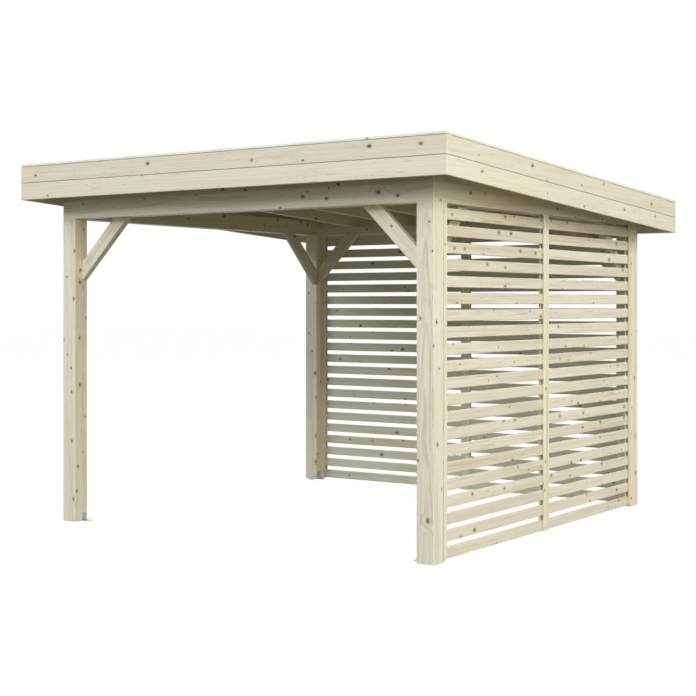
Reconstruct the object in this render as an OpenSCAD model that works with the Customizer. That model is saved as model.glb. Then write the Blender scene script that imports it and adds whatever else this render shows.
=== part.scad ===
// Open timber pergola with a mono-pitch roof, a deep board fascia and two slatted walls.
// Millimetres. Z is up, the front looks along -Y and the roof falls to the back.
// The origin lies on the ground, under the middle of the roof.

/* [Frame] */
// Width over the outer faces of the posts
frame_w = 2975; // [2400:5:4200]
// Depth over the outer faces of the posts
frame_d = 2960; // [2400:5:4200]
// Side of the square posts, and thickness of the beams on them
post_w = 115; // [95:1:160]
// Height of the posts, up to the level underside of the beams
post_h = 2080; // [1900:5:2600]
// Depth of the level beams at the front and the sides
beam_h = 120; // [90:1:130]
// Depth of the back beam at its outer face
back_beam_h = 52; // [45:1:80]
// Fall of the roof to the back, in millimetres for each metre
roof_fall = 53; // [40:1:70]

/* [Rafters] */
// Thickness of a rafter
rafter_t = 45; // [35:1:60]
// Depth of a rafter
rafter_h = 95; // [85:1:120]

/* [Braces] */
// Thickness of a knee brace
brace_t = 45; // [35:1:60]
// Width of a knee brace across its length
brace_w = 90; // [70:1:120]
// Reach of a brace's lower edge along the post and along the beam
brace_reach = 420; // [250:1:550]

/* [Roof] */
// Overhang of the roof past the posts at each side
side_overhang = 205; // [100:5:300]
// Overhang of the roof past the front posts
front_overhang = 198; // [100:1:300]
// Overhang of the roof past the back posts
back_overhang = 236; // [100:1:300]
// Thickness of the roof boards
deck_t = 19; // [16:1:28]
// Thickness of the roofing felt
felt_t = 3; // [2:1:5]
// Thickness of the fascia boards
fascia_t = 20; // [16:1:28]
// Height of the lower fascia board
fascia_low_h = 114; // [100:1:150]
// Height of the upper fascia board
fascia_top_h = 111; // [100:1:150]
// Distance that the fascia reaches above the roof boards
fascia_rise = 21; // [10:1:60]
// Thickness of the cover trim on the fascia
trim_t = 19; // [14:1:28]
// Width of the cover trim
trim_w = 45; // [35:1:90]

/* [Slatted walls] */
// Side of the square stiles
stile_w = 38; // [32:1:60]
// Distance of the stiles behind the outer faces of the posts
stile_setback = 4; // [0:1:10]
// Clearance between the ground and the stiles
stile_clearance = 8; // [5:1:20]
// Width of a standard panel, the neighbouring panel fills the rest of its wall
panel_w = 1335; // [1000:5:1400]
// Least gap between the top slat and the beam
slat_top_gap = 20; // [10:1:30]
// Height of a slat
slat_h = 67; // [45:1:70]
// Thickness of a slat
slat_t = 16; // [12:1:22]
// Distance between the undersides of neighbouring slats
slat_pitch = 98.8; // [85:0.1:110]
// Height of the lowest slat's underside
slat_first_z = 11.6; // [8:0.1:14]
// Distance of the slats behind the outer faces of the stiles
slat_setback = 10; // [2:1:12]

/* [Post anchors] */
// Width of a steel angle at a post foot
anchor_w = 40; // [30:1:45]
// Height of the angle's upright leg
anchor_h = 60; // [45:1:90]
// Length of the angle's foot leg
anchor_foot = 60; // [45:1:90]
// Thickness of the steel
anchor_t = 3; // [2:0.5:4]
// Diameter of the bolt hole in the foot leg
bolt_bore = 11; // [8:1:14]
// Diameter of the screw holes in the upright leg
screw_bore = 5; // [4:0.5:7]
// Distance from a post's inner edge to the angle on its face
anchor_edge = 8; // [4:1:15]

/* [Hidden] */
fall = roof_fall / 1000;
rafter_bays = 6;
roof_w = frame_w + 2 * side_overhang;
roof_d = frame_d + front_overhang + back_overhang;
half_w = frame_w / 2;
front_y = front_overhang - roof_d / 2;
back_y = front_y + frame_d;
inner_x = half_w - post_w;
inner_front_y = front_y + post_w;
inner_back_y = back_y - post_w;
beam_top = post_h + beam_h;
rafter_step = frame_w / rafter_bays;
eave_x = roof_w / 2 - fascia_t;
eave_y = roof_d / 2 - fascia_t;
trim_z = deck_t + fascia_rise;
joint_z = trim_z - fascia_top_h;
brace_top_reach = brace_reach - brace_w * sqrt(2);
slat_depth = stile_setback + slat_setback;
last_slat = floor((post_h - slat_top_gap - slat_h - slat_first_z) / slat_pitch);
bore_fn = 48;
cut = 1;

// Underside of the rafters at a given y
function rafter_z(y) = post_h + back_beam_h + fall * (back_y - y);
// Underside of the roof boards at a given y
function deck_z(y) = rafter_z(y) + rafter_h;

WOOD = [0.88, 0.84, 0.70];
SHADED_WOOD = [0.80, 0.76, 0.62];
FELT = [0.24, 0.25, 0.26];
STEEL = [0.62, 0.64, 0.66];

// A plate with the outline points, given as [y, z], between two places along x
module across(x0, x1, points) {
    translate([x0, 0, 0])
        rotate([90, 0, 90])
            linear_extrude(x1 - x0)
                polygon(points);
}

// A plate with the outline points, given as [x, z], between two places along y
module along(y0, y1, points) {
    translate([0, y1, 0])
        rotate([90, 0, 0])
            linear_extrude(y1 - y0)
                polygon(points);
}

// The layer between two heights over the roof boards' underside, parallel to the roof
module roof_layer(half_x, half_y, low, high) {
    across(-half_x, half_x, [
        [-half_y, deck_z(-half_y) + low],
        [half_y, deck_z(half_y) + low],
        [half_y, deck_z(half_y) + high],
        [-half_y, deck_z(-half_y) + high]
    ]);
}

// Upright prism over one mitred side of the roof's edge, for a board of width t
module edge_sector(side, t) {
    w = roof_w / 2;
    d = roof_d / 2;
    front = [[-w, -d], [w, -d], [w - t, t - d], [t - w, t - d]];
    right = [[w, -d], [w, d], [w - t, d - t], [w - t, t - d]];
    linear_extrude(2 * post_h)
        polygon(
            side == "front" ? front
            : side == "back" ? [for (p = front) [p[0], -p[1]]]
            : side == "right" ? right
            : [for (p = right) [-p[0], p[1]]]
        );
}

// One board of the roof's edge, mitred at both ends
module edge_board(side, t, low, high) {
    intersection() {
        roof_layer(roof_w / 2, roof_d / 2, low, high);
        edge_sector(side, t);
    }
}

module post(side_x, y) {
    color(WOOD)
        translate([side_x < 0 ? -half_w : inner_x, y, 0])
            cube([post_w, post_w, post_h]);
}

module beam_front() {
    color(WOOD)
        translate([0, 0, post_h])
            linear_extrude(beam_h)
                polygon([
                    [-half_w, front_y], [half_w, front_y],
                    [inner_x, inner_front_y], [-inner_x, inner_front_y]
                ]);
}

// Carries the rafters on the front beam, with a top that follows the roof
module plate_front() {
    color(WOOD)
        across(-half_w, half_w, [
            [front_y, beam_top],
            [inner_front_y, beam_top],
            [inner_front_y, rafter_z(inner_front_y)],
            [front_y, rafter_z(front_y)]
        ]);
}

module beam_back() {
    color(WOOD)
        across(-inner_x, inner_x, [
            [inner_back_y, post_h],
            [back_y, post_h],
            [back_y, rafter_z(back_y)],
            [inner_back_y, rafter_z(inner_back_y)]
        ]);
}

// Level beam on two posts, mitred to the front beam
module beam_side(side_x) {
    color(WOOD)
        translate([0, 0, post_h])
            linear_extrude(beam_h)
                polygon([
                    [side_x * half_w, front_y],
                    [side_x * inner_x, inner_front_y],
                    [side_x * inner_x, back_y],
                    [side_x * half_w, back_y]
                ]);
}

module rafter(x) {
    color(SHADED_WOOD)
        across(x - rafter_t / 2, x + rafter_t / 2, [
            [-eave_y, rafter_z(-eave_y)],
            [eave_y, rafter_z(eave_y)],
            [eave_y, deck_z(eave_y)],
            [-eave_y, deck_z(-eave_y)]
        ]);
}

// Rafter on a side beam, tapered to the level beam and notched past its ends
module rafter_side(side_x) {
    x0 = side_x < 0 ? -half_w : half_w - rafter_t;
    color(SHADED_WOOD)
        across(x0, x0 + rafter_t, [
            [-eave_y, rafter_z(-eave_y)],
            [inner_front_y, rafter_z(inner_front_y)],
            [inner_front_y, beam_top],
            [back_y, beam_top],
            [back_y, rafter_z(back_y)],
            [eave_y, rafter_z(eave_y)],
            [eave_y, deck_z(eave_y)],
            [-eave_y, deck_z(-eave_y)]
        ]);
}

// Outline of a knee brace in the corner at [0, 0], reaching along +x and down
function brace_outline(flip, corner, top) = [
    for (p = [[0, -brace_reach], [brace_reach, 0], [brace_top_reach, 0], [0, -brace_top_reach]])
        [corner + flip * p[0], top + p[1]]
];

// Knee brace between a post and the front or back beam
module brace_wide(side_x, y0) {
    color(WOOD)
        along(y0, y0 + brace_t, brace_outline(-side_x, side_x * inner_x, post_h));
}

// Knee brace between a post and a side beam
module brace_deep(side_x, side_y) {
    x0 = side_x < 0 ? -inner_x - brace_t : inner_x;
    corner = side_y < 0 ? inner_front_y : inner_back_y;
    color(WOOD)
        across(x0, x0 + brace_t, brace_outline(-side_y, corner, post_h));
}

module fascia_low(side) {
    color(WOOD)
        edge_board(side, fascia_t, joint_z - fascia_low_h, joint_z);
}

module fascia_top(side) {
    color(WOOD)
        edge_board(side, fascia_t, joint_z, trim_z);
}

module trim(side) {
    color(WOOD)
        edge_board(side, trim_w, trim_z, trim_z + trim_t);
}

module roof_deck() {
    color(SHADED_WOOD)
        roof_layer(eave_x, eave_y, 0, deck_t);
}

// Felt on the roof boards, turned up behind the fascia
module roof_felt() {
    color(FELT)
        difference() {
            roof_layer(eave_x, eave_y, deck_t, trim_z);
            roof_layer(eave_x - felt_t, eave_y - felt_t, deck_t + felt_t, trim_z + cut);
        }
}

// Panel from [0, 0] along +x, with +y running in from the posts' outer faces
module slatted_panel(run) {
    color(WOOD) {
        for (x = [0, run - stile_w])
            translate([x, stile_setback, stile_clearance])
                cube([stile_w, stile_w, post_h - stile_clearance]);
        for (i = [0:last_slat])
            translate([stile_w, slat_depth, slat_first_z + i * slat_pitch])
                cube([run - 2 * stile_w, slat_t, slat_h]);
    }
}

module panel_right(start, run) {
    translate([half_w, inner_front_y + start, 0])
        rotate([0, 0, 90])
            slatted_panel(run);
}

module panel_back(start, run) {
    translate([inner_x - start, back_y, 0])
        rotate([0, 0, 180])
            slatted_panel(run);
}

// Steel angle that stands at [0, 0] with its foot leg along +y
module anchor_angle() {
    bolt_y = (anchor_t + anchor_foot) / 2;
    screw_gap = anchor_h / 3;
    difference() {
        union() {
            cube([anchor_w, anchor_foot, anchor_t]);
            cube([anchor_w, anchor_t, anchor_h]);
        }
        translate([anchor_w / 2, bolt_y, -cut])
            cylinder(h = anchor_t + 2 * cut, d = bolt_bore, $fn = bore_fn);
        for (i = [1, 2])
            translate([anchor_w / 2, anchor_t + cut, anchor_t + i * screw_gap - screw_bore / 2])
                rotate([90, 0, 0])
                    cylinder(h = anchor_t + 2 * cut, d = screw_bore, $fn = bore_fn);
    }
}

// The two angles on the inner faces of the front left post, moved to any post by mirroring
module anchor_pair() {
    translate([-inner_x, inner_front_y - anchor_edge, 0])
        rotate([0, 0, -90])
            anchor_angle();
    translate([-inner_x - anchor_edge - anchor_w, inner_front_y, 0])
        anchor_angle();
}

module anchors_front() {
    color(STEEL) {
        anchor_pair();
        mirror([1, 0, 0])
            anchor_pair();
    }
}

module anchors_back() {
    color(STEEL)
        translate([0, front_y + back_y, 0])
            mirror([0, 1, 0]) {
                anchor_pair();
                mirror([1, 0, 0])
                    anchor_pair();
            }
}

wide_run = frame_w - 2 * post_w - panel_w;
deep_run = frame_d - 2 * post_w - panel_w;

post(-1, front_y);  // post_front_left
post(1, front_y);  // post_front_right
post(-1, inner_back_y);  // post_back_left
post(1, inner_back_y);  // post_back_right
beam_front();
plate_front();
beam_back();
beam_side(-1);  // beam_left
beam_side(1);  // beam_right
rafter(-2 * rafter_step);  // rafter_1
rafter(-rafter_step);  // rafter_2
rafter(0);  // rafter_3
rafter(rafter_step);  // rafter_4
rafter(2 * rafter_step);  // rafter_5
rafter_side(-1);  // rafter_side_left
rafter_side(1);  // rafter_side_right
rafter(rafter_t / 2 - eave_x);  // rafter_edge_left
rafter(eave_x - rafter_t / 2);  // rafter_edge_right
brace_wide(-1, inner_front_y - brace_t);  // brace_front_left
brace_wide(1, inner_front_y - brace_t);  // brace_front_right
brace_wide(-1, inner_back_y);  // brace_back_left
brace_wide(1, inner_back_y);  // brace_back_right
brace_deep(-1, -1);  // brace_left_front
brace_deep(1, -1);  // brace_right_front
brace_deep(-1, 1);  // brace_left_back
brace_deep(1, 1);  // brace_right_back
fascia_low("front");  // fascia_low_front
fascia_low("back");  // fascia_low_back
fascia_low("left");  // fascia_low_left
fascia_low("right");  // fascia_low_right
fascia_top("front");  // fascia_top_front
fascia_top("back");  // fascia_top_back
fascia_top("left");  // fascia_top_left
fascia_top("right");  // fascia_top_right
trim("front");  // trim_front
trim("back");  // trim_back
trim("left");  // trim_left
trim("right");  // trim_right
roof_deck();
roof_felt();
panel_right(0, panel_w);  // panel_right_front
panel_right(panel_w, deep_run);  // panel_right_back
panel_back(0, panel_w);  // panel_back_right
panel_back(panel_w, wide_run);  // panel_back_left
anchors_front();
anchors_back();
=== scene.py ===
"""Looks of the open timber pergola: planed spruce posts, beams and boards, two slatted walls,
a boarded roof under mineral felt and galvanised steel angles at the post feet."""

import math

import bpy
import numpy as np
from mathutils import Matrix, Vector


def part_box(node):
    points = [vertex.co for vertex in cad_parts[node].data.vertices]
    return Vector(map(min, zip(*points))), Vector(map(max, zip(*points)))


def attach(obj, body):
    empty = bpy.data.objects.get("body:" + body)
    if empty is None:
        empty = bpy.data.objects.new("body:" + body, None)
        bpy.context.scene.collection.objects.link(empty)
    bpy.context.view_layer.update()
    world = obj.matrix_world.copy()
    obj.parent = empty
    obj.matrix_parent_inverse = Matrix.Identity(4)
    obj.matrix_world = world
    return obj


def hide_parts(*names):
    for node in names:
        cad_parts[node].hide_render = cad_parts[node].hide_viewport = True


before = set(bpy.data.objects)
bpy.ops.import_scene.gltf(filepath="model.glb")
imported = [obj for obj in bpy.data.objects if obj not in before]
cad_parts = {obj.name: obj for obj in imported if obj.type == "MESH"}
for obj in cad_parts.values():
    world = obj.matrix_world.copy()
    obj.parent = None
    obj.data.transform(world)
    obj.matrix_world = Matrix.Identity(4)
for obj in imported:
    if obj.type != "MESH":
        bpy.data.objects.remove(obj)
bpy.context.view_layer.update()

UP = (0, 0, 1)
EAST = (1, 0, 0)
BACK = (0, 1, 0)

# Points nearer than this count as one, in metres
HAIR = 0.0002

# Two faces meet at a sharp edge when the cosine of the turn between them is less
SHARP = 0.9

# A face looks along a direction when its normal's share of that direction is more
TOWARDS = 0.9

# ---------------------------------------------------------------- sizes taken from the frame, in metres


def span(node, axis):
    """A node's length along x, y or z, given as 0, 1 or 2."""
    low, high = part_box(node)
    return high[axis] - low[axis]


post_low, post_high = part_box("post_front_left")
post_width = span("post_front_left", 0)
post_top = post_high.z
half_width = -post_low.x
front_y = post_low.y
back_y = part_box("post_back_left")[1].y
inner_x = half_width - post_width
inner_front_y = front_y + post_width
inner_back_y = back_y - post_width

roof_half_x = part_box("fascia_low_front")[1].x
roof_half_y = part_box("fascia_low_back")[1].y
fascia_thick = span("fascia_low_front", 1)
trim_width = span("trim_front", 1)
deck_low, deck_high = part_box("roof_deck")
eave_x = deck_high.x
eave_y = deck_high.y

# Slope of the roof, from how much taller a side board's box is than the level front board's
side_rise = span("fascia_top_right", 2)
front_rise = span("fascia_top_front", 2)
fall = (side_rise - front_rise) / (2 * roof_half_y - fascia_thick)
slope = math.atan(fall)


def under_boards(y):
    """Height of the roof boards' underside at a place along the roof."""
    return deck_low.z + fall * (eave_y - y)


def over_boards(node):
    """How far a side board's upper edge stands over the roof boards' underside."""
    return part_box(node)[1].z - under_boards(-roof_half_y)


low_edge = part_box("fascia_low_right")[0].z - under_boards(roof_half_y)
joint_edge = over_boards("fascia_low_right")
trim_edge = over_boards("fascia_top_right")
trim_top = over_boards("trim_right")
board_thick = deck_high.z - under_boards(-eave_y)

# One run of chance for all boards, drawn in the order in which they are made
rng = np.random.default_rng(41)

# ---------------------------------------------------------------- bench work


def clear_selection():
    """Nothing is selected, so that a tool works on the new piece alone."""
    bpy.ops.object.select_all(action="DESELECT")


def pick(piece):
    """Selects one piece and makes it the active one."""
    clear_selection()
    piece.select_set(True)
    bpy.context.view_layer.objects.active = piece


def set_in_place(piece):
    """Puts a piece's turn, place and size into its mesh."""
    pick(piece)
    bpy.ops.object.transform_apply(location=True, rotation=True, scale=True)


def block(name, low, high):
    """A sawn block between two corners, square to the frame."""
    clear_selection()
    size = Vector(high) - Vector(low)
    centre = (Vector(low) + Vector(high)) / 2
    bpy.ops.mesh.primitive_cube_add(size=1, location=centre, scale=size)
    piece = bpy.context.object
    piece.name = name
    set_in_place(piece)
    return piece


def saw(piece, point, normal):
    """Saws off what lies past a plane and closes the cut."""
    pick(piece)
    bpy.ops.object.mode_set(mode="EDIT")
    bpy.ops.mesh.select_all(action="SELECT")
    bpy.ops.mesh.bisect(plane_co=point, plane_no=normal, use_fill=True, clear_outer=True)
    bpy.ops.object.mode_set(mode="OBJECT")


def discard(piece):
    """Removes a cutter that has cut, or a pattern piece once its copies are made."""
    bpy.data.objects.remove(piece)


def carve(piece, cutter):
    """Cuts one piece's shape out of another."""
    cut = piece.modifiers.new("Cut", "BOOLEAN")
    cut.object = cutter
    cut.operation = "DIFFERENCE"
    cut.solver = "EXACT"
    pick(piece)
    bpy.ops.object.modifier_apply(modifier=cut.name)
    discard(cutter)


def ease_edges(piece, radius, segments=3, keep=None):
    """Rounds a piece's sharp edges, but not where keep, given an edge's two faces, is true."""
    mesh = piece.data
    faces_at = {}
    for face in mesh.polygons:
        for key in face.edge_keys:
            faces_at.setdefault(key, []).append(face)
    for face in mesh.polygons:
        face.select = False
    for point in mesh.vertices:
        point.select = False
    for edge in mesh.edges:
        pair = faces_at.get(edge.key, [])
        sharp = len(pair) == 2 and pair[0].normal.dot(pair[1].normal) < SHARP
        edge.select = bool(sharp and not (keep and keep(pair[0], pair[1])))
    pick(piece)
    bpy.ops.object.mode_set(mode="EDIT")
    bpy.ops.mesh.select_mode(type="EDGE")
    bpy.ops.mesh.bevel(offset=radius, segments=segments, affect="EDGES", profile=0.5)
    bpy.ops.object.mode_set(mode="OBJECT")


def copy_of(piece, name, place):
    """A copy with its own mesh, set in its place."""
    twin = piece.copy()
    twin.data = piece.data.copy()
    twin.name = name
    bpy.context.scene.collection.objects.link(twin)
    twin.data.transform(place)
    return twin


def join(pieces, name):
    """Several boards made one piece."""
    clear_selection()
    for piece in pieces:
        piece.select_set(True)
    bpy.context.view_layer.objects.active = pieces[0]
    bpy.ops.object.join()
    joined = bpy.context.object
    joined.name = name
    return joined


def points_of(mesh):
    """All points of a mesh as rows of x, y, z."""
    values = np.empty(len(mesh.vertices) * 3, np.float32)
    mesh.vertices.foreach_get("co", values)
    return values.reshape(-1, 3)


def levels_of(node, axis):
    """The places along x, y or z at which a node has points, from the lowest up."""
    places = points_of(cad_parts[node].data)[:, axis]
    return sorted(set(np.round(places.astype(float), 4).tolist()))


# Boards start anywhere on a log, and each face anywhere on its own pattern, in metres either way
log_spread = 30
face_spread = 20


def lay_grain(piece, along, across, heart=0.05, knots=0.5, warmth=None, tone=None):
    """Gives a board its own place in a log.

    grain: metres along the fibres and from the pith. board: tone, warmth and share of knots; chance
    gives a tone from 0, a dark board, to 1, a pale one, and a warmth from 0, green, to 1, pink.
    Face: metres on each face, for what lies on a face and doesn't go through it.
    """
    mesh = piece.data
    points = points_of(mesh)
    along = np.array(Vector(along).normalized())
    across = np.array(Vector(across).normalized())
    through = np.cross(along, across)
    axes = np.array([along, across, through])
    centre = (points.min(0) + points.max(0)) / 2
    spot = (points - centre) @ axes.T
    bearing = rng.uniform(0, 2 * math.pi)
    distance = heart * rng.uniform(0.6, 1.4)
    start = rng.uniform(-log_spread, log_spread)
    shift = np.array([start, distance * math.cos(bearing), distance * math.sin(bearing)])
    grain = mesh.attributes.get("grain") or mesh.attributes.new("grain", "FLOAT_VECTOR", "POINT")
    grain.data.foreach_set("vector", (spot + shift).astype(np.float32).ravel())

    warm = rng.uniform(0, 1) if warmth is None else warmth
    pale = rng.uniform(0, 1) if tone is None else tone
    character = np.array([pale, warm, knots], np.float32)
    board = mesh.attributes.get("board") or mesh.attributes.new("board", "FLOAT_VECTOR", "POINT")
    board.data.foreach_set("vector", np.tile(character, len(points)))

    corners = np.empty(len(mesh.loops), np.int32)
    mesh.loops.foreach_get("vertex_index", corners)
    normals = np.array([face.normal for face in mesh.polygons]) @ axes.T
    corner_counts = np.array([face.loop_total for face in mesh.polygons])
    face_side = np.abs(normals).argmax(1)
    face_ahead = np.take_along_axis(normals, face_side[:, None], 1)[:, 0] > 0
    side = np.repeat(face_side, corner_counts)
    ahead = np.repeat(face_ahead, corner_counts)
    spot = spot[corners]
    across_face = np.where(side == 1, spot[:, 2], spot[:, 1])
    along_face = np.where(side == 0, spot[:, 2], spot[:, 0])

    # Each of the board's six sides reads the pattern at a place of its own
    page = rng.uniform(-face_spread, face_spread, 6)[side * 2 + ahead]
    place = np.column_stack([along_face + shift[0] + page, across_face + page * 0.7])
    faces = mesh.uv_layers.get("Face") or mesh.uv_layers.new(name="Face")
    faces.data.foreach_set("uv", place.astype(np.float32).ravel())


def refinish(piece, material):
    """Gives a piece one material in place of all that it had."""
    piece.data.materials.clear()
    piece.data.materials.append(material)


def hand_over(piece, material, slot, *nodes):
    """Gives a finished piece its material, and sets it in the frame in place of the plain solids."""
    refinish(piece, material)
    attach(piece, "root")
    if nodes:
        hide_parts(*nodes)


# ---------------------------------------------------------------- node trees


def feed(tree, socket, value):
    """Gives an input a link or a plain value."""
    if isinstance(value, bpy.types.NodeSocket):
        tree.links.new(value, socket)
    else:
        socket.default_value = value


def put(tree, kind, values=None, **settings):
    """A new node with its settings, and with plain values or links for its inputs."""
    node = tree.nodes.new(kind)
    for name, value in settings.items():
        setattr(node, name, value)
    for name, value in (values or {}).items():
        feed(tree, node.inputs[name], value)
    return node


def sums(tree, operation, first, second=0.0, third=0.0):
    """One step of arithmetic."""
    return put(tree, "ShaderNodeMath", {0: first, 1: second, 2: third}, operation=operation).outputs[0]


def centred(tree, value):
    """A value from 0 to 1, moved to lie about zero."""
    return sums(tree, "SUBTRACT", value, 0.5)


def weighed(tree, start, *parts):
    """A start and what follows it added up, each part by its own weight."""
    total = start
    for value, weight in parts:
        total = sums(tree, "MULTIPLY_ADD", value, weight, total)
    return total


def ramp(tree, value, start, end, low=0.0, high=1.0):
    """A soft step from low to high while value goes from start to end."""
    values = {"Value": value, "From Min": start, "From Max": end, "To Min": low, "To Max": high}
    return put(tree, "ShaderNodeMapRange", values, interpolation_type="SMOOTHSTEP").outputs["Result"]


def blend(tree, share, first, second):
    """Two colours mixed."""
    node = put(tree, "ShaderNodeMix", data_type="RGBA", blend_type="MIX")
    for index, value in ((0, share), (6, first), (7, second)):
        feed(tree, node.inputs[index], value)
    return node.outputs[2]


def stained(tree, colour, where, strength, stain):
    """A colour with a stain on it where a mask says, at a strength of its own."""
    return blend(tree, sums(tree, "MULTIPLY", where, strength), colour, stain)


def stretched(tree, vector, scale):
    """A place scaled by its own amount each way."""
    values = {0: vector, 1: scale}
    return put(tree, "ShaderNodeVectorMath", values, operation="MULTIPLY").outputs["Vector"]


def noise(tree, vector, scale, detail=2.0, roughness=0.5):
    """Soft noise from 0 to 1 about one half, drawn out by a scale for each way."""
    place = stretched(tree, vector, scale)
    values = {"Vector": place, "Scale": 1.0, "Detail": detail, "Roughness": roughness}
    return put(tree, "ShaderNodeTexNoise", values).outputs[0]


def blank_finish(name):
    """A new material, with its node tree and its shader."""
    material = bpy.data.materials.new(name)
    material.use_nodes = True
    tree = material.node_tree
    return material, tree, tree.nodes["Principled BSDF"]


def relief(tree, shader, height, strength, distance):
    """Fine unevenness of a surface, too small for the mesh."""
    values = {"Height": height, "Strength": strength, "Distance": distance}
    bump = put(tree, "ShaderNodeBump", values)
    tree.links.new(bump.outputs["Normal"], shader.inputs["Normal"])


# ---------------------------------------------------------------- spruce

# Pale early and brown late wood of the year rings, tints of whole boards, and single marks
early_wood = (0.845, 0.80, 0.655, 1)
# Painted shade: a darker, yellower early wood for the rafters and roof boards, which are only seen in
# the shade under the roof
roof_shaded_early_wood = (0.80, 0.745, 0.575, 1)
# Painted highlight: paler early and late wood for the cover trim, for the light that its rounded top
# catches from above
trim_highlight_early_wood = (0.93, 0.91, 0.81, 1)
late_wood = (0.62, 0.50, 0.325, 1)
trim_highlight_late_wood = (0.74, 0.66, 0.5, 1)
pink_wood = (0.80, 0.63, 0.46, 1)
green_wood = (0.76, 0.755, 0.54, 1)
resin = (0.42, 0.29, 0.15, 1)
flaw_wood = (0.48, 0.35, 0.2, 1)
halo_wood = (0.46, 0.36, 0.19, 1)
knot_wood = (0.085, 0.062, 0.036, 1)
knot_ring_wood = (0.18, 0.125, 0.07, 1)

knot_cell = 0.12


def knots_on(group, face, share):
    """Knots, one in some cells of each face, a little longer along the fibres.

    Gives the distance from a knot in its own radii, then masks of its core, of the halo round it
    and of the fibres that swerve, and how strongly the core is coloured.
    """
    place = stretched(group, face, (0.7 / knot_cell, 1 / knot_cell, 0))
    cells = put(group, "ShaderNodeTexVoronoi", {"Vector": place, "Scale": 1.0}, voronoi_dimensions="2D")
    chance = put(group, "ShaderNodeSeparateColor", {0: cells.outputs["Color"]}).outputs
    there = sums(group, "LESS_THAN", chance[0], share)
    spread = sums(group, "POWER", chance[1], 2.0)
    radius = sums(group, "MULTIPLY_ADD", spread, 0.05, 0.034)
    ragged = noise(group, face, (90, 130, 1), 2)
    reach = sums(group, "DIVIDE", cells.outputs["Distance"], radius)
    reach = weighed(group, reach, (centred(group, ragged), 0.7))
    core = sums(group, "MULTIPLY", there, ramp(group, reach, 1.15, 0.8))
    halo = sums(group, "MULTIPLY", there, ramp(group, reach, 2.8, 0.9))
    swerve = sums(group, "MULTIPLY", there, ramp(group, reach, 6.5, 0.6))
    depth = ramp(group, chance[2], 0.3, 0.75, 0.98, 0.75)
    return reach, core, halo, swerve, depth


def year_rings(group, grain, swerve, ring_width):
    """Late wood of the rings about the pith: wavy, with the log's taper, and pushed aside by knots."""
    spot = put(group, "ShaderNodeSeparateXYZ", {0: grain}).outputs
    wave = noise(group, grain, (1.1, 7, 7), 2)
    ripple = noise(group, grain, (5, 38, 38), 1)
    off_pith = sums(group, "POWER", spot[1], 2.0)
    off_pith = sums(group, "ADD", off_pith, sums(group, "POWER", spot[2], 2.0))
    ring = sums(group, "SQRT", off_pith)
    ring = weighed(group, ring, (spot[0], 0.009), (wave, 0.022), (ripple, 0.0025), (swerve, 0.009))
    years = sums(group, "DIVIDE", ring, ring_width)
    season = sums(group, "FRACT", years)
    each_year = put(group, "ShaderNodeTexWhiteNoise", {"W": sums(group, "FLOOR", years)},
                    noise_dimensions="1D").outputs["Value"]
    late = sums(group, "MULTIPLY", ramp(group, season, 0.35, 0.9), ramp(group, season, 1.0, 0.93))
    return sums(group, "MULTIPLY", late, sums(group, "MULTIPLY_ADD", each_year, 0.7, 0.3))


def flaw_lines(group, grain):
    """Thin brown lines that wander round flaws in the fibres, here and there."""
    flaw = noise(group, grain, (15, 75, 75), 2)
    line = ramp(group, sums(group, "ABSOLUTE", centred(group, flaw)), 0.022, 0.0)
    spots = ramp(group, noise(group, grain, (3, 13, 13), 1), 0.55, 0.66)
    return sums(group, "MULTIPLY", line, spots)


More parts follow.
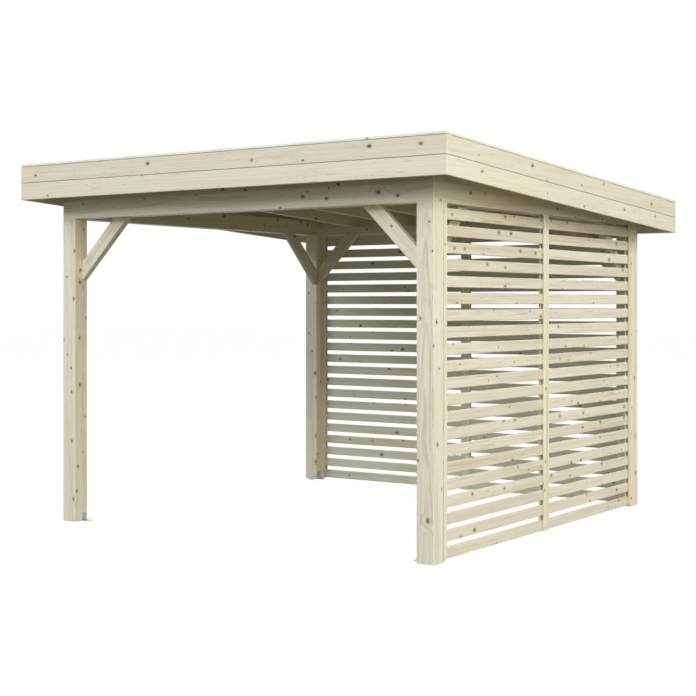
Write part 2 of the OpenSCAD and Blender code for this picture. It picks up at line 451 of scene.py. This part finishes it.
def spruce_group():
    """Planed spruce: year rings round the pith, fine fibres, soft streaks, resin dashes and knots."""
    group = bpy.data.node_groups.new("Spruce figure", "ShaderNodeTree")
    for name, kind in (("Grain", "Vector"), ("Face", "Vector"), ("Board", "Vector"),
                       ("Ring Width", "Float"), ("Figure", "Float"),
                       ("Early Wood", "Color"), ("Late Wood", "Color")):
        group.interface.new_socket(name, in_out="INPUT", socket_type="NodeSocket" + kind)
    for name, kind in (("Color", "Color"), ("Roughness", "Float"), ("Height", "Float")):
        group.interface.new_socket(name, in_out="OUTPUT", socket_type="NodeSocket" + kind)
    given = group.nodes.new("NodeGroupInput").outputs
    result = group.nodes.new("NodeGroupOutput").inputs
    grain = given["Grain"]
    tone, warmth, knot_share = put(group, "ShaderNodeSeparateXYZ", {0: given["Board"]}).outputs
    reach, core, halo, swerve, depth = knots_on(group, given["Face"], knot_share)
    late = year_rings(group, grain, swerve, given["Ring Width"])

    # Streaks, soft patches, bands, fibres and short resin dashes
    streak = noise(group, grain, (0.8, 20, 20), 3, 0.55)
    patch = noise(group, grain, (0.5, 5, 5), 2)
    band = noise(group, grain, (1.6, 75, 75), 2, 0.6)
    fibre = noise(group, grain, (7, 420, 420), 2, 0.6)
    dash = ramp(group, noise(group, grain, (10, 130, 130), 1), 0.69, 0.79)

    # The share of late wood, then what tints the board as a whole
    streaked = sums(group, "MULTIPLY", ramp(group, streak, 0.42, 0.8), given["Figure"])
    banded = sums(group, "MULTIPLY", centred(group, band), given["Figure"])
    share = weighed(group, 0.0, (late, 0.6), (streaked, 0.4), (banded, 1.3),
                    (centred(group, fibre), 0.35))
    share = put(group, "ShaderNodeClamp", {"Value": share}).outputs[0]
    colour = blend(group, share, given["Early Wood"], given["Late Wood"])
    pinkness = sums(group, "MULTIPLY", ramp(group, warmth, 0.55, 1.0), ramp(group, patch, 0.3, 0.65))
    colour = stained(group, colour, pinkness, 0.32, pink_wood)
    greenness = sums(group, "MULTIPLY", ramp(group, warmth, 0.45, 0.0), ramp(group, patch, 0.65, 0.3))
    colour = stained(group, colour, greenness, 0.5, green_wood)
    # The board's tone scales its colour; the tones given to some posts, beams, braces and boards paint
    # light or shade
    shade = weighed(group, 0.93, (tone, 0.09), (patch, 0.06))
    toned = put(group, "ShaderNodeVectorMath", {0: colour, "Scale": shade}, operation="SCALE")
    colour = toned.outputs["Vector"]

    # Single marks, from the faintest to the knots
    colour = stained(group, colour, dash, 0.5, resin)
    colour = stained(group, colour, flaw_lines(group, grain), 0.5, flaw_wood)
    colour = stained(group, colour, halo, 0.42, halo_wood)
    heart_rings = ramp(group, sums(group, "PINGPONG", reach, 0.16), 0.02, 0.14)
    knot_colour = blend(group, heart_rings, knot_wood, knot_ring_wood)
    colour = stained(group, colour, core, depth, knot_colour)

    rough = weighed(group, 0.52, (fibre, 0.16), (late, -0.06), (core, -0.12))
    height = weighed(group, 0.0, (late, 0.35), (fibre, 0.5), (core, 0.8), (dash, -0.5))
    group.links.new(colour, result["Color"])
    group.links.new(rough, result["Roughness"])
    group.links.new(height, result["Height"])
    return group


spruce_figure = spruce_group()


def spruce(name, ring_width, figure=1.0, early=early_wood, late=late_wood):
    """A timber finish: the shared figure at its own ring width, contrast and colours."""
    material, tree, shader = blank_finish(name)
    wood = tree.nodes.new("ShaderNodeGroup")
    wood.node_tree = spruce_figure
    for attribute, socket in (("grain", "Grain"), ("board", "Board")):
        source = put(tree, "ShaderNodeAttribute", attribute_name=attribute)
        tree.links.new(source.outputs["Vector"], wood.inputs[socket])
    faces = put(tree, "ShaderNodeUVMap", uv_map="Face")
    tree.links.new(faces.outputs["UV"], wood.inputs["Face"])
    wood.inputs["Ring Width"].default_value = ring_width
    wood.inputs["Figure"].default_value = figure
    wood.inputs["Early Wood"].default_value = early
    wood.inputs["Late Wood"].default_value = late
    tree.links.new(wood.outputs["Color"], shader.inputs["Base Color"])
    tree.links.new(wood.outputs["Roughness"], shader.inputs["Roughness"])
    relief(tree, shader, wood.outputs["Height"], 0.25, 0.001)
    shader.inputs["Specular IOR Level"].default_value = 0.3
    return material


post_wood = spruce("Planed spruce, posts and beams", 0.0050)
# Painted shade: the rafters and the roof boards below take the darker, yellower roof wood
rafter_wood = spruce("Planed spruce, rafters", 0.0045, early=roof_shaded_early_wood)
fascia_wood = spruce("Planed spruce, roof edge boards", 0.0048, figure=0.55)
trim_highlight_wood = spruce("Planed spruce, cover trim", 0.0048, figure=0.5, early=trim_highlight_early_wood,
                   late=trim_highlight_late_wood)
board_wood = spruce("Planed spruce, roof boards", 0.0030, early=roof_shaded_early_wood)
slat_wood = spruce("Planed spruce, slats", 0.0046, figure=1.2)

# ---------------------------------------------------------------- felt and steel


def felt_material():
    """Mineral-faced bitumen felt: slate granules in grey and blue-black, lighter where it is rubbed."""
    material, tree, shader = blank_finish("Mineral felt")
    place = put(tree, "ShaderNodeTexCoord").outputs["Object"]
    grit = put(tree, "ShaderNodeTexVoronoi", {"Vector": place, "Scale": 520.0})
    tints = put(tree, "ShaderNodeSeparateColor", {0: grit.outputs["Color"]}).outputs
    cloud = noise(tree, place, (1.7, 1.7, 1.7), 4)
    colour = blend(tree, tints[0], (0.045, 0.05, 0.056, 1), (0.19, 0.2, 0.21, 1))
    colour = stained(tree, colour, ramp(tree, cloud, 0.4, 0.75), 0.35, (0.2, 0.2, 0.19, 1))
    tree.links.new(colour, shader.inputs["Base Color"])
    rough = ramp(tree, tints[1], 0.0, 1.0, 0.8, 0.98)
    tree.links.new(rough, shader.inputs["Roughness"])
    height = weighed(tree, grit.outputs["Distance"], (cloud, 2.0))
    relief(tree, shader, height, 0.5, 0.0015)
    return material


def zinc_material(name, light, dark, rough_low, rough_high):
    """Galvanised steel: flat zinc crystals in near greys, with a dull chalky bloom."""
    material, tree, shader = blank_finish(name)
    place = put(tree, "ShaderNodeTexCoord").outputs["Object"]
    crystals = put(tree, "ShaderNodeTexVoronoi", {"Vector": place, "Scale": 190.0})
    tints = put(tree, "ShaderNodeSeparateColor", {0: crystals.outputs["Color"]}).outputs
    bloom = noise(tree, place, (35, 35, 35), 3)
    colour = blend(tree, tints[0], dark, light)
    colour = blend(tree, ramp(tree, bloom, 0.5, 0.8, 0.0, 0.4), colour, (0.5, 0.5, 0.48, 1))
    tree.links.new(colour, shader.inputs["Base Color"])
    tree.links.new(ramp(tree, tints[1], 0.0, 1.0, rough_low, rough_high), shader.inputs["Roughness"])
    tree.links.new(ramp(tree, bloom, 0.45, 0.85, 1.0, 0.6), shader.inputs["Metallic"])
    relief(tree, shader, bloom, 0.2, 0.0005)
    return material


felt = felt_material()
zinc = zinc_material("Galvanised steel", (0.58, 0.6, 0.61, 1), (0.36, 0.38, 0.4, 1), 0.35, 0.55)
screw_steel = zinc_material("Zinc screw heads", (0.5, 0.5, 0.48, 1), (0.3, 0.3, 0.29, 1), 0.3, 0.45)

# ---------------------------------------------------------------- posts and beams

# Radii of the planed edges, and how much a mitre's sharp tip loses
post_edge = 0.004
beam_edge = 0.003
plate_edge = 0.002
beam_tip = 0.0022

# Tones of the posts, as pale as the palest that chance draws, or paler: painted light, each post made
# paler by as much as the lamps leave it too dark, the back left one under the roof most
post_painted_light_tones = {
    "post_front_left": 1.6, "post_front_right": 1.0,
    "post_back_left": 2.2, "post_back_right": 1.8,
}


def at_end(first, second):
    """True at an edge of a post's sawn end."""
    return max(abs(first.normal.z), abs(second.normal.z)) > TOWARDS


for node, tone in post_painted_light_tones.items():
    low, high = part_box(node)
    post = block(node.replace("post_", "") + "_post", low, high)
    ease_edges(post, post_edge, keep=at_end)
    lay_grain(post, UP, EAST, heart=0.07, knots=0.72, tone=tone)
    hand_over(post, post_wood, "frame_timber", node)


def mitre(piece, x, y, z, normal, blunt):
    """Cuts a mitre at a corner of a frame, and takes the sharp tip off."""
    saw(piece, (x, y, z), normal)
    outward = Vector((math.copysign(1, x), math.copysign(1, y), 0)).normalized()
    tip = Vector((x, y, z)) - outward * blunt
    saw(piece, tip, outward)


def is_level(face):
    """True for an upper or a lower face."""
    return abs(face.normal.z) > 0.5


def at_joint(first, second):
    """True at a mitre cut's edges and a board's upright ones, which stay sharp so that joints close."""
    if not is_level(first) and not is_level(second):
        return True
    upright = [face.normal for face in (first, second) if not is_level(face)]
    return any(abs(abs(normal.x) - abs(normal.y)) < 0.1 for normal in upright)


low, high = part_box("beam_front")
front_beam = block("front_beam", low, high)
mitre(front_beam, high.x, low.y, low.z, (1, 1, 0), beam_tip)
mitre(front_beam, low.x, low.y, low.z, (-1, 1, 0), beam_tip)
ease_edges(front_beam, beam_edge, keep=at_joint)
# Painted light: the front beam is given a paler tone than chance draws, to lift it in the eave's shade
lay_grain(front_beam, EAST, UP, heart=0.08, knots=0.6, tone=2.2)
hand_over(front_beam, post_wood, "frame_timber", "beam_front")

for side, node in ((-1, "beam_left"), (1, "beam_right")):
    low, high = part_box(node)
    side_beam = block(node.replace("beam_", "") + "_beam", low, high)
    mitre(side_beam, side * half_width, low.y, low.z, (-side, -1, 0), beam_tip)
    ease_edges(side_beam, beam_edge, keep=at_joint)
    lay_grain(side_beam, BACK, UP, heart=0.08, knots=0.8)
    hand_over(side_beam, post_wood, "frame_timber", node)

for node, name in (("plate_front", "front_plate"), ("beam_back", "back_beam")):
    low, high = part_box(node)
    beam = block(name, low, high)
    saw(beam, (0, low.y, high.z), (0, fall, 1))
    ease_edges(beam, plate_edge)
    lay_grain(beam, EAST, BACK, heart=0.06, knots=0.5)
    hand_over(beam, post_wood, "frame_timber", node)

# ---------------------------------------------------------------- rafters

rafter_edge = 0.002
side_rafter_edge = 0.0015
down_slope = (0, 1, -fall)
off_slope = (0, fall, 1)

rafter_nodes = ["rafter_%d" % count for count in range(1, 6)]
rafter_nodes += ["rafter_edge_left", "rafter_edge_right"]
rafter_low, rafter_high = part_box("rafter_3")
rafter_pattern = block("rafter_pattern", rafter_low, rafter_high)
saw(rafter_pattern, (0, rafter_low.y, rafter_high.z), off_slope)
saw(rafter_pattern, (0, rafter_high.y, rafter_low.z), (0, -fall, -1))
ease_edges(rafter_pattern, rafter_edge, segments=2)
for node in rafter_nodes:
    low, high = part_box(node)
    rafter = copy_of(rafter_pattern, node + "_board", Matrix.Translation((low.x - rafter_low.x, 0, 0)))
    lay_grain(rafter, down_slope, off_slope, heart=0.06, knots=0.45)
    hand_over(rafter, rafter_wood, "rafter_timber", node)
discard(rafter_pattern)

# The tapered side rafters are the plain solids with their edges eased
for side in ("left", "right"):
    node = "rafter_side_" + side
    side_rafter = copy_of(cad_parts[node], side + "_side_rafter", Matrix())
    side_rafter.parent = None
    pick(side_rafter)
    bpy.ops.object.mode_set(mode="EDIT")
    bpy.ops.mesh.select_all(action="SELECT")
    bpy.ops.mesh.remove_doubles(threshold=HAIR)
    bpy.ops.mesh.dissolve_limited(angle_limit=0.01)
    bpy.ops.object.mode_set(mode="OBJECT")
    ease_edges(side_rafter, side_rafter_edge, segments=2)
    lay_grain(side_rafter, down_slope, off_slope, heart=0.06, knots=0.45)
    hand_over(side_rafter, rafter_wood, "rafter_timber", node)

# ---------------------------------------------------------------- knee braces

brace_edge = 0.0028
brace_low, brace_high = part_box("brace_front_left")
brace_reach = brace_high.x - brace_low.x
brace_thick = brace_high.y - brace_low.y
brace_points = points_of(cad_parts["brace_front_left"].data)
brace_head = brace_points[brace_points[:, 2] > brace_high.z - HAIR]
brace_width = (brace_head[:, 0].max() - brace_head[:, 0].min()) / math.sqrt(2)

# One brace in the corner at the origin, reaching along +x under the beam and down the post
brace_pattern = block("brace_pattern", (-brace_reach, -brace_thick / 2, 0),
                      (brace_reach, brace_thick / 2, brace_width))
brace_pattern.rotation_euler = (0, math.radians(-45), 0)
brace_pattern.location = (brace_reach / 2, 0, -brace_reach / 2)
set_in_place(brace_pattern)
saw(brace_pattern, (0, 0, 0), (-1, 0, 0))
saw(brace_pattern, (0, 0, 0), UP)
ease_edges(brace_pattern, brace_edge)

# Turn of each brace about the upright axis in degrees, and the tones that aren't left to chance: the
# paler front braces are painted light in the eave's shade, and the darker braces in the back left
# corner are painted shade near the roof
brace_turns = {
    "brace_front_left": 0, "brace_back_left": 0, "brace_front_right": 180, "brace_back_right": 180,
    "brace_left_front": 90, "brace_right_front": 90, "brace_left_back": 270, "brace_right_back": 270,
}
brace_light_and_shade_tones = {
    "brace_front_left": 2.0, "brace_front_right": 3.0,
    "brace_back_left": 0.1, "brace_left_back": 0.1,
}
for node, turn in brace_turns.items():
    low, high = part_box(node)
    turned = Matrix.Rotation(math.radians(turn), 4, "Z")
    brace = copy_of(brace_pattern, node.replace("brace_", "") + "_brace", turned)
    points = points_of(brace.data)
    here = Vector(((points.min(0) + points.max(0)) / 2).tolist())
    brace.data.transform(Matrix.Translation((low + high) / 2 - here))
    along = turned @ Vector((1, 0, 1))
    across = turned @ Vector((-1, 0, 1))
    lay_grain(brace, along, across, heart=0.06, knots=0.7, tone=brace_light_and_shade_tones.get(node))
    hand_over(brace, post_wood, "frame_timber", node)
discard(brace_pattern)

# ---------------------------------------------------------------- roof edge boards and cover trim

# Half the gap between two boards, the edges' radii and what a mitre's sharp tip loses
half_gap = 0.0014
fascia_edge = 0.002
trim_round = 0.004
fascia_tip = 0.003


def edge_board(name, side, width, low_height, high_height, radius, tone, knots=0.27):
    """A board of the roof's edge between two heights over the roof boards, mitred at its ends."""
    x = roof_half_x
    y = roof_half_y
    bottom = under_boards(y) + low_height
    top = under_boards(-y) + high_height
    spans = {
        "front": ((-x, -y, bottom), (x, width - y, top)),
        "back": ((-x, y - width, bottom), (x, y, top)),
        "left": ((-x, -y, bottom), (width - x, y, top)),
        "right": ((x - width, -y, bottom), (x, y, top)),
    }
    board = block(name, *spans[side])
    saw(board, (0, 0, under_boards(0) + high_height), off_slope)
    saw(board, (0, 0, under_boards(0) + low_height), (0, -fall, -1))
    ends = {
        "front": ((x, -y, (1, 1, 0)), (-x, -y, (-1, 1, 0))),
        "back": ((x, y, (1, -1, 0)), (-x, y, (-1, -1, 0))),
        "left": ((-x, -y, (1, -1, 0)), (-x, y, (1, 1, 0))),
        "right": ((x, -y, (-1, -1, 0)), (x, y, (-1, 1, 0))),
    }
    for end_x, end_y, normal in ends[side]:
        mitre(board, end_x, end_y, bottom, normal, fascia_tip)
    ease_edges(board, radius, keep=at_joint)
    along = EAST if side in ("front", "back") else down_slope
    flat = UP if width < high_height - low_height else (BACK if along == EAST else EAST)
    lay_grain(board, along, flat, heart=0.055, knots=knots, warmth=rng.uniform(0.3, 0.7), tone=tone)
    return board


# Painted shade: the upper boards are given a darker tone and the lower ones a paler, so the roof's edge
# darkens towards the trim
for side in ("front", "back", "left", "right"):
    lower = edge_board(side + "_lower_board", side, fascia_thick, low_edge, joint_edge - half_gap,
                       fascia_edge, tone=0.7)
    hand_over(lower, fascia_wood, "fascia_timber", "fascia_low_" + side)
    upper = edge_board(side + "_upper_board", side, fascia_thick, joint_edge + half_gap,
                       trim_edge - half_gap, fascia_edge, tone=0.2)
    hand_over(upper, fascia_wood, "fascia_timber", "fascia_top_" + side)
    # The cover trim takes the paler trim wood, a painted highlight
    cover = edge_board(side + "_cover_trim", side, trim_width, trim_edge + half_gap, trim_top,
                       trim_round, tone=0.6, knots=0.08)
    hand_over(cover, trim_highlight_wood, "fascia_timber", "trim_" + side)

# ---------------------------------------------------------------- roof boards and felt

board_count = 35
board_step = 2 * eave_y / board_count
board_chamfer = 0.0035
half_board = board_step / math.cos(slope) / 2
board_pattern = block("roof_board_pattern", (-eave_x, -half_board, 0),
                      (eave_x, half_board, board_thick))


def not_in_joint(first, second):
    """True at every edge but the two long lower ones, whose chamfers make the joint's V."""
    downward = min(first.normal.z, second.normal.z) < -TOWARDS
    sideways = max(abs(first.normal.y), abs(second.normal.y)) > TOWARDS
    return not (downward and sideways)


ease_edges(board_pattern, board_chamfer, segments=1, keep=not_in_joint)
board_pattern.rotation_euler = (-slope, 0, 0)
set_in_place(board_pattern)
roof_boards = []
for count in range(board_count):
    y = (count + 0.5) * board_step - eave_y
    board = copy_of(board_pattern, "roof_board", Matrix.Translation((0, y, under_boards(y))))
    lay_grain(board, EAST, down_slope, heart=0.05, knots=0.5)
    roof_boards.append(board)
discard(board_pattern)
hand_over(join(roof_boards, "roof_boards"), board_wood, "roof_boards", "roof_deck")

refinish(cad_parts["roof_felt"], felt)

felt_thick = 0.003
sheet_width = 1.0
lap = 0.08
lap_set_in = felt_thick + 0.002
lap_swell = 0.0004
lap_cuts = 30
laps = int(2 * eave_y / (sheet_width - lap))
for count in range(laps):
    start = eave_y - (count + 1) * (sheet_width - lap) - lap
    lay = block("felt_lap_%d" % (count + 1), (lap_set_in - eave_x, start, 0),
                (eave_x - lap_set_in, start + lap, felt_thick))
    pick(lay)
    bpy.ops.object.mode_set(mode="EDIT")
    bpy.ops.mesh.select_all(action="SELECT")
    bpy.ops.mesh.subdivide(number_cuts=lap_cuts)
    bpy.ops.object.mode_set(mode="OBJECT")

    # The lap lies on the slope, and swells a little towards its lower edge
    for point in lay.data.vertices:
        x = point.co.x
        y = point.co.y
        wave = math.sin(x * 9.0 + count) * math.sin(x * 23.0 + 2.0 * count)
        swell = lap_swell * wave * (y - start) / lap
        point.co.z += under_boards(y) + board_thick + felt_thick + swell
    hand_over(lay, felt, "roofing_felt")

# ---------------------------------------------------------------- slatted walls

# The groove in a stile and the slats in it, and what is left free between a panel and a post
groove_deep = 0.022
groove_play = 0.0005
groove_past = 0.1
slat_let_in = 0.012
stile_play = 0.009
panel_play = 0.0003
stile_edge = 0.002
slat_edge = 0.004

# Least and greatest tone of the stiles, the duller ones beside the back right post
pale_stile = (1.4, 2.2)
dull_stile = (0.4, 0.9)


def wall_panel(node, name, slat_tones=(0, 1)):
    """A wall panel: two grooved stiles and the slats that are let into them."""
    low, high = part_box(node)
    run = 0 if high.x - low.x > high.y - low.y else 1
    along = (EAST, BACK)[run]
    ends = levels_of(node, run)
    stile_in, slat_in, slat_out, stile_out = levels_of(node, 1 - run)
    heights = levels_of(node, 2)
    slat_bottoms = heights[1:-1:2]
    slat_tall = heights[2] - heights[1]

    def corner(ahead, through, z):
        """A point from its places along the wall, through it and up."""
        return (ahead, through, z) if run == 0 else (through, ahead, z)

    def on_outer_side(outward):
        """Tells a stile's outer edges, where it lies against a post or the next panel."""
        return lambda *faces: max(face.normal[run] * outward for face in faces) > TOWARDS

    # The first stile of the right wall stands off its post, with a thin gap between them
    middle = (0, (front_y + back_y) / 2)[run]
    starts_at_post = middle - ends[0] > (ends[3] - ends[0]) / 2
    stands_off = run == 1 and starts_at_post
    lead = stile_play if stands_off else panel_play
    inner_low = ends[1] + lead
    inner_high = ends[2]
    stiles = (
        (ends[0] + lead, inner_low, inner_low - groove_deep, inner_high, -1),
        (inner_high, ends[3] - panel_play, inner_low, inner_high + groove_deep, 1),
    )
    boards = []
    for start, end, groove_from, groove_to, outward in stiles:
        board = block("stile", corner(start, stile_in, heights[0]),
                      corner(end, stile_out, post_top - HAIR))
        cutter = block("cutter", corner(groove_from, slat_in - groove_play, heights[0] - groove_past),
                       corner(groove_to, slat_out + groove_play, post_top + groove_past))
        carve(board, cutter)
        all_round = stands_off and outward < 0
        ease_edges(board, stile_edge, segments=2, keep=None if all_round else on_outer_side(outward))
        tones = pale_stile if starts_at_post or outward < 0 else dull_stile
        lay_grain(board, UP, along, heart=0.05, knots=0.4, tone=rng.uniform(*tones))
        boards.append(board)
    slat_pattern = block("slat_pattern", corner(inner_low - slat_let_in, slat_in, 0),
                         corner(inner_high + slat_let_in, slat_out, slat_tall))
    ease_edges(slat_pattern, slat_edge)
    for bottom in slat_bottoms:
        slat = copy_of(slat_pattern, "slat", Matrix.Translation((0, 0, bottom)))
        lay_grain(slat, along, UP, heart=0.06, knots=0.5, tone=rng.uniform(*slat_tones))
        boards.append(slat)
    discard(slat_pattern)
    hand_over(join(boards, name), slat_wood, "slat_timber", node)


wall_panel("panel_right_front", "right_wall_front_panel")
# Painted light: the back panel of the right wall gets paler slats, to lift it where the lamps light it
# less
wall_panel("panel_right_back", "right_wall_back_panel", slat_tones=(0.4, 1.4))
wall_panel("panel_back_right", "back_wall_right_panel")
wall_panel("panel_back_left", "back_wall_left_panel")

# ---------------------------------------------------------------- steel angles and their screws

for node in ("anchors_front", "anchors_back"):
    refinish(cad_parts[node], zinc)

screw_radius = 0.0058
screw_rise = 0.0032
anchor_width = 0.04
anchor_inset = 0.008
anchor_thick = levels_of("anchors_front", 2)[1]
anchor_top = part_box("anchors_front")[1].z
screw_step = anchor_top / 3
screw_drop = 0.0025


def below_rim(first, second):
    """True at every edge of a screw head but those of its upper rim."""
    return max(first.normal.z, second.normal.z) < 0.5


def screw_head(name, radius, rise):
    """A pan head that looks along +z from the origin: rounded rim and a driving recess."""
    clear_selection()
    centre = (0, 0, rise / 2)
    bpy.ops.mesh.primitive_cylinder_add(vertices=12, radius=radius, depth=rise, location=centre)
    head = bpy.context.object
    head.name = name
    set_in_place(head)
    rim = rise * 0.45
    ease_edges(head, rim, segments=2, keep=below_rim)
    for face in head.data.polygons:
        face.select = face.normal.z > 0.99
    pick(head)
    bpy.ops.object.mode_set(mode="EDIT")
    bpy.ops.mesh.select_mode(type="FACE")
    shoulder = radius * 0.32
    bpy.ops.mesh.inset(thickness=shoulder)
    recess = rise * 0.6
    bpy.ops.mesh.extrude_region_move(TRANSFORM_OT_translate={"value": (0, 0, -recess)})
    bpy.ops.object.mode_set(mode="OBJECT")
    return head


def facing(direction, place):
    """The move that sets a screw's head at a place, looking along a direction."""
    turn = Vector(UP).rotation_difference(Vector(direction)).to_matrix().to_4x4()
    return Matrix.Translation(Vector(place)) @ turn


anchor_screw = screw_head("anchor_screw_pattern", screw_radius, screw_rise)
foot_y = inner_front_y - anchor_inset - anchor_width / 2
anchor_screws = []
for side_x in (-1, 1):
    for side_y in (-1, 1):
        for count in (1, 2):
            height = anchor_thick + count * screw_step - screw_drop
            y = foot_y if side_y < 0 else front_y + back_y - foot_y
            place = (side_x * (inner_x - anchor_thick), y, height)
            anchor_screws.append(copy_of(anchor_screw, "screw", facing((-side_x, 0, 0), place)))
            x = side_x * (inner_x + anchor_inset + anchor_width / 2)
            y = inner_front_y + anchor_thick if side_y < 0 else inner_back_y - anchor_thick
            place = (x, y, height)
            anchor_screws.append(copy_of(anchor_screw, "screw", facing((0, -side_y, 0), place)))
hand_over(join(anchor_screws, "anchor_screws"), screw_steel, "galvanised_steel")
discard(anchor_screw)

# ---------------------------------------------------------------- ground and sky

ground_reach = 60
ground_thick = 0.05
soil_colour = (0.086, 0.092, 0.065, 1)
sky_colour = (0.88, 0.98, 1.0, 1)
white_colour = (1, 1, 1, 1)
ground_glow = 0.93

# Strength of the sky at the horizon, at its brightest 30 degrees up, and overhead
horizon_sky = 0.34
brightest_sky = 0.915
overhead_sky = 0.30


def backdrop_rays(tree):
    """One for a ray that shows the white backdrop: seen straight, in metal or through glass."""
    path = put(tree, "ShaderNodeLightPath").outputs
    seen = sums(tree, "MAXIMUM", path["Is Camera Ray"], path["Is Glossy Ray"])
    return sums(tree, "MAXIMUM", seen, path["Is Transmission Ray"])


def close_tree(tree, kind, lighting, backdrop):
    """Ends a tree with what lights the object, and with the backdrop for the rays that show it."""
    mixed = put(tree, "ShaderNodeMixShader", {0: backdrop_rays(tree)})
    tree.links.new(lighting.outputs[0], mixed.inputs[1])
    tree.links.new(backdrop.outputs[0], mixed.inputs[2])
    surface = put(tree, kind)
    tree.links.new(mixed.outputs[0], surface.inputs["Surface"])


ground = block("ground", (-ground_reach, -ground_reach, -ground_thick), (ground_reach, ground_reach, 0))
ground_material = bpy.data.materials.new("Pale ground")
ground_material.use_nodes = True
tree = ground_material.node_tree
tree.nodes.clear()
soil = put(tree, "ShaderNodeBsdfDiffuse", {"Color": soil_colour})
white = put(tree, "ShaderNodeEmission", {"Color": white_colour, "Strength": ground_glow})
shown = put(tree, "ShaderNodeAddShader")
tree.links.new(soil.outputs[0], shown.inputs[0])
tree.links.new(white.outputs[0], shown.inputs[1])
close_tree(tree, "ShaderNodeOutputMaterial", soil, shown)
ground.data.materials.append(ground_material)

world = bpy.data.worlds.new("Soft studio")
bpy.context.scene.world = world
world.use_nodes = True
tree = world.node_tree
tree.nodes.clear()
gaze = put(tree, "ShaderNodeTexCoord").outputs["Generated"]
upward = put(tree, "ShaderNodeSeparateXYZ", {0: gaze}).outputs[2]
upward = sums(tree, "MAXIMUM", upward, 0.0)
rising = 2 * (brightest_sky - horizon_sky)
falling = 2 * (brightest_sky - overhead_sky)
low_sky = weighed(tree, horizon_sky, (upward, rising))
high_sky = weighed(tree, overhead_sky + falling, (upward, -falling))
strength = sums(tree, "MINIMUM", low_sky, high_sky)
sky = put(tree, "ShaderNodeBackground", {"Color": sky_colour, "Strength": strength})
white = put(tree, "ShaderNodeBackground", {"Color": white_colour, "Strength": 1.0})
close_tree(tree, "ShaderNodeOutputWorld", sky, white)

# ---------------------------------------------------------------- lamps and camera

lamp_aim = Vector((0, 0, 1.2))


def soft_lamp(name, place, size, power, colour):
    """A large square lamp that looks at the middle of the pergola."""
    lamp = bpy.data.lights.new(name, "AREA")
    lamp.shape = "SQUARE"
    lamp.size = size
    lamp.energy = power
    lamp.color = colour
    holder = bpy.data.objects.new(name, lamp)
    holder.location = place
    look = lamp_aim - Vector(place)
    holder.rotation_euler = look.to_track_quat("-Z", "Y").to_euler()
    bpy.context.scene.collection.objects.link(holder)


soft_lamp("Right lamp", (13, -4, 5), 9, 700, (1.0, 0.90, 0.73))
soft_lamp("High right lamp", (13, -3.5, 9), 5, 600, (0.91, 0.95, 1.0))
soft_lamp("Front lamp", (1, -12, 8.4), 5, 550, (0.97, 0.92, 0.98))
soft_lamp("Left lamp", (-11, -7, 9.4), 5, 550, (0.87, 0.97, 1.0))
soft_lamp("Back lamp", (-9, 9, 8), 6, 480, (1.0, 0.94, 0.88))

camera_data = bpy.data.cameras.new("Camera")
camera_data.lens = 72.51
camera_data.sensor_width = 36
camera_data.shift_y = -0.0632
camera = bpy.data.objects.new("Camera", camera_data)
camera.location = (5.6012, -8.3847, 1.4945)
camera.rotation_euler = (math.radians(90), 0, math.radians(34.346))
bpy.context.scene.collection.objects.link(camera)
bpy.context.scene.camera = camera
bpy.context.scene.view_settings.view_transform = "Standard"
